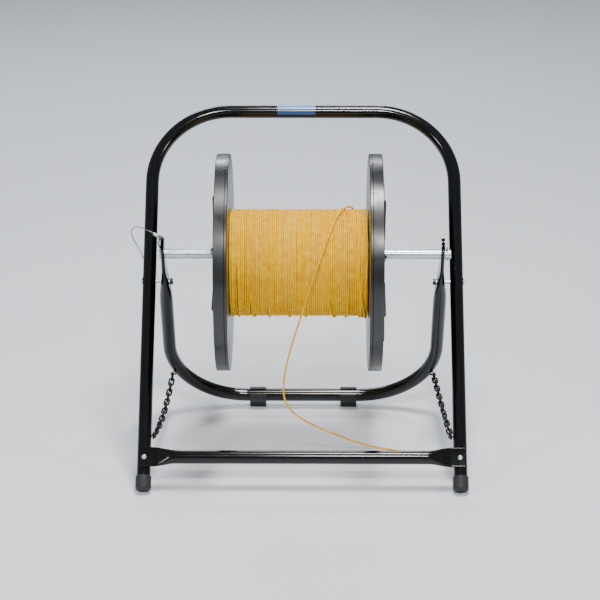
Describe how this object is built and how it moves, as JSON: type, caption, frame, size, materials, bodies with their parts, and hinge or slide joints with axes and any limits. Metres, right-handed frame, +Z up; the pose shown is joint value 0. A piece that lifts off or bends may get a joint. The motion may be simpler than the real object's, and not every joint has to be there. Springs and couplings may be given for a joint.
{
  "type": "folding spool stand",
  "caption": "Folding tube stand with a carrying handle, holding a flanged spool of yellow wire on a removable axle, with chains that limit how far its legs spread.",
  "frame": {"origin": "centre of the bounding box on the floor plane", "axes": "+X to the right of a person facing the stand, along the axle; +Y towards its back; +Z up"},
  "size_m": [0.5582, 0.4514, 0.5319],
  "materials": {
    "black_tube": "gloss",
    "dark_screw": "satin",
    "foot_rubber": "matte",
    "zinc": "satin",
    "blue_label": "gloss",
    "dark_steel": "satin",
    "spool_plastic": "satin",
    "yellow_wire": "satin",
    "wire_rope": "satin",
    "ferrule_metal": "satin"
  },
  "bodies": {
    "front_frame": {"front_frame_tube": "black_tube", "front_crossbar": "black_tube", "crossbar_screws": "zinc", "front_foot_left": "foot_rubber", "front_foot_right": "foot_rubber", "pivot_bolts": "zinc", "pivot_nuts": "dark_screw", "handle_label": "blue_label", "front_chain_screws": "dark_screw", "lanyard_screw": "dark_screw", "leg_ferrule": "ferrule_metal", "leg_rope_eye": "wire_rope", "lanyard": "wire_rope"},
    "rear_frame": {"rear_frame_tube": "black_tube", "rear_foot_left": "foot_rubber", "rear_foot_right": "foot_rubber", "rear_chain_screws": "dark_screw", "axle_rod": "zinc", "cotter_pin": "dark_steel", "hitch_pin": "dark_steel", "pin_ferrule": "ferrule_metal", "pin_rope_eye": "wire_rope", "wire_tail": "yellow_wire"},
    "spool": {"flange_left": "spool_plastic", "flange_right": "spool_plastic", "spool_barrel": "spool_plastic", "wire_winding": "yellow_wire"},
    "chain_left_rear": {"chain_left_rear_links": "dark_steel"},
    "chain_left_front": {"chain_left_front_links": "dark_steel"},
    "chain_right_rear": {"chain_right_rear_links": "dark_steel"},
    "chain_right_front": {"chain_right_front_links": "dark_steel"}
  },
  "joints": [
    {"name": "fold", "type": "hinge", "parent": "front_frame", "child": "rear_frame", "pos_m": [0, 0.0139, 0.2815], "axis": [-1, 0, 0], "range_deg": [0, 64], "deforming": ["lanyard", "wire_tail", "chain_left_rear_links", "chain_left_front_links", "chain_right_rear_links", "chain_right_front_links"]},
    {"name": "spool_spin", "type": "hinge", "parent": "rear_frame", "child": "spool", "pos_m": [-0.0056, -0.01732, 0.32582], "axis": [1, 0, 0], "continuous": true},
    {"name": "chain_left_rear_swing", "type": "hinge", "parent": "rear_frame", "child": "chain_left_rear", "pos_m": [-0.2268, 0.11929, 0.07478], "axis": [-1, 0, 0], "range_deg": [-114.3, 0]},
    {"name": "chain_left_front_swing", "type": "hinge", "parent": "front_frame", "child": "chain_left_front", "pos_m": [-0.241, -0.15901, 0.07543], "axis": [-1, 0, 0], "range_deg": [0, 109.3]},
    {"name": "chain_right_rear_swing", "type": "hinge", "parent": "rear_frame", "child": "chain_right_rear", "pos_m": [0.2268, 0.11929, 0.07478], "axis": [-1, 0, 0], "range_deg": [-118.1, 0]},
    {"name": "chain_right_front_swing", "type": "hinge", "parent": "front_frame", "child": "chain_right_front", "pos_m": [0.241, -0.15901, 0.07543], "axis": [-1, 0, 0], "range_deg": [0, 116.2]}
  ],
  "couplings": [
    {"joint": "chain_left_rear_swing", "follows": "fold", "ratio": -1.7848},
    {"joint": "chain_left_front_swing", "follows": "fold", "ratio": 1.7071},
    {"joint": "chain_right_rear_swing", "follows": "fold", "ratio": -1.8448},
    {"joint": "chain_right_front_swing", "follows": "fold", "ratio": 1.8156}
  ]
}
